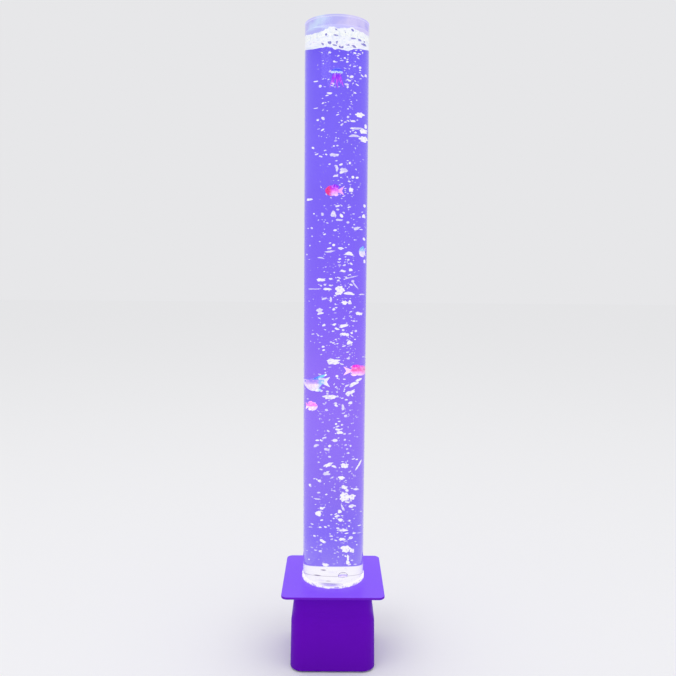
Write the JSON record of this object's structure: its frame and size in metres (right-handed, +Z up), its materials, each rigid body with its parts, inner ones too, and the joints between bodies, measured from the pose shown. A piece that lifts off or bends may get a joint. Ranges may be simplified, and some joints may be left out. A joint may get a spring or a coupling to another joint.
{
  "type": "bubble tube floor lamp",
  "caption": "Floor lamp with a clear water column on a square plate and plastic housing, lit from below, with rising bubbles and drifting toy fish.",
  "frame": {"origin": "on the floor, under the middle of the lamp, between the four rubber feet", "axes": "+Z up along the tube, the front faces -Y, the socket and the button are at the rear, +Y"},
  "size_m": [0.195, 0.195, 1.218],
  "materials": {
    "housing_plastic": "satin moulded",
    "plate_plastic": "satin moulded, lit from above",
    "cover_plastic": "fine grain",
    "black_rubber": "matt",
    "screw_steel": "zinc plated",
    "tray_white": "white reflector",
    "board_white": "white solder mask",
    "lamp_lens": "lit lens",
    "lead_black": "smooth",
    "lit_acrylic": "clear acrylic, lit from below",
    "clear_acrylic": "polished",
    "cap_acrylic": "polished",
    "fitting_black": "smooth",
    "hose_clear": "soft, translucent",
    "valve_blue": "moulded",
    "pump_plastic": "fine grain",
    "core_iron": "stacked sheets",
    "coil_copper": "enamelled wire",
    "arm_nylon": "natural nylon",
    "magnet_grey": "sintered",
    "chamber_grey": "moulded",
    "board_green": "solder mask",
    "jelly_blue": "soft translucent",
    "fish_red": "painted",
    "fish_blue": "painted",
    "fish_pink": "painted",
    "fish_cyan": "painted",
    "fish_pale": "painted"
  },
  "bodies": {
    "lamp_base": {"housing": "housing_plastic", "bottom_cover": "cover_plastic", "rubber_feet": "black_rubber", "cover_screws": "screw_steel", "top_plate": "plate_plastic", "plate_screws": "screw_steel", "light_tray": "tray_white", "tray_screws": "screw_steel", "light_board": "board_white", "lamps": "lamp_lens", "board_screws": "screw_steel", "led_lead": "lead_black", "base_disc": "lit_acrylic", "tube": "clear_acrylic", "air_nozzle": "fitting_black", "nozzle_seal": "black_rubber", "nozzle_nut": "fitting_black", "lower_hose": "hose_clear", "check_valve": "valve_blue", "upper_hose": "hose_clear", "pump_base": "pump_plastic", "pump_cover": "pump_plastic", "pump_screws": "screw_steel", "pump_mounts": "black_rubber", "magnet_core": "core_iron", "coil": "coil_copper", "bellows": "black_rubber", "air_chamber": "chamber_grey", "pump_lead": "lead_black", "control_board": "board_green", "control_screws": "screw_steel", "push_switch": "fitting_black", "dc_socket": "fitting_black", "socket_nut": "screw_steel"},
    "cap": {"top_cap": "cap_acrylic"},
    "button": {"power_button": "fitting_black"},
    "pump_drive": {"pump_arm": "arm_nylon", "arm_magnet": "magnet_grey"},
    "jellyfish_body": {"jellyfish": "jelly_blue"},
    "red_fish_body": {"red_fish": "fish_red"},
    "blue_fish_body": {"blue_fish": "fish_blue"},
    "pink_fish_body": {"pink_fish": "fish_pink"},
    "cyan_fish_body": {"cyan_fish": "fish_cyan"},
    "pale_fish_body": {"pale_fish": "fish_pale"}
  },
  "joints": [
    {"name": "cap_lift", "type": "slide", "parent": "lamp_base", "child": "cap", "axis": [0, 0, 1], "range_m": [0, 0.06]},
    {"name": "button_press", "type": "slide", "parent": "lamp_base", "child": "button", "axis": [0, -1, 0], "range_m": [0, 0.002], "stiffness_N_per_m": 800, "springref_m": -0.0005},
    {"name": "arm_swing", "type": "hinge", "parent": "lamp_base", "child": "pump_drive", "pos_m": [-0.046, -0.015, 0.0355], "axis": [0, 0, 1], "range_deg": [-1.5, 1.5], "stiffness_Nm_per_rad": 0.5, "deforming": ["bellows"]},
    {"name": "jellyfish_drift", "type": "slide", "parent": "lamp_base", "child": "jellyfish_body", "axis": [0, 0, 1], "range_m": [-0.921, 0.043]},
    {"name": "red_fish_drift", "type": "slide", "parent": "lamp_base", "child": "red_fish_body", "axis": [0, 0, 1], "range_m": [-0.728, 0.247]},
    {"name": "blue_fish_drift", "type": "slide", "parent": "lamp_base", "child": "blue_fish_body", "axis": [0, 0, 1], "range_m": [-0.617, 0.359]},
    {"name": "pink_fish_drift", "type": "slide", "parent": "lamp_base", "child": "pink_fish_body", "axis": [0, 0, 1], "range_m": [-0.388, 0.586]},
    {"name": "cyan_fish_drift", "type": "slide", "parent": "lamp_base", "child": "cyan_fish_body", "axis": [0, 0, 1], "range_m": [-0.357, 0.606]},
    {"name": "pale_fish_drift", "type": "slide", "parent": "lamp_base", "child": "pale_fish_body", "axis": [0, 0, 1], "range_m": [-0.323, 0.656]}
  ]
}
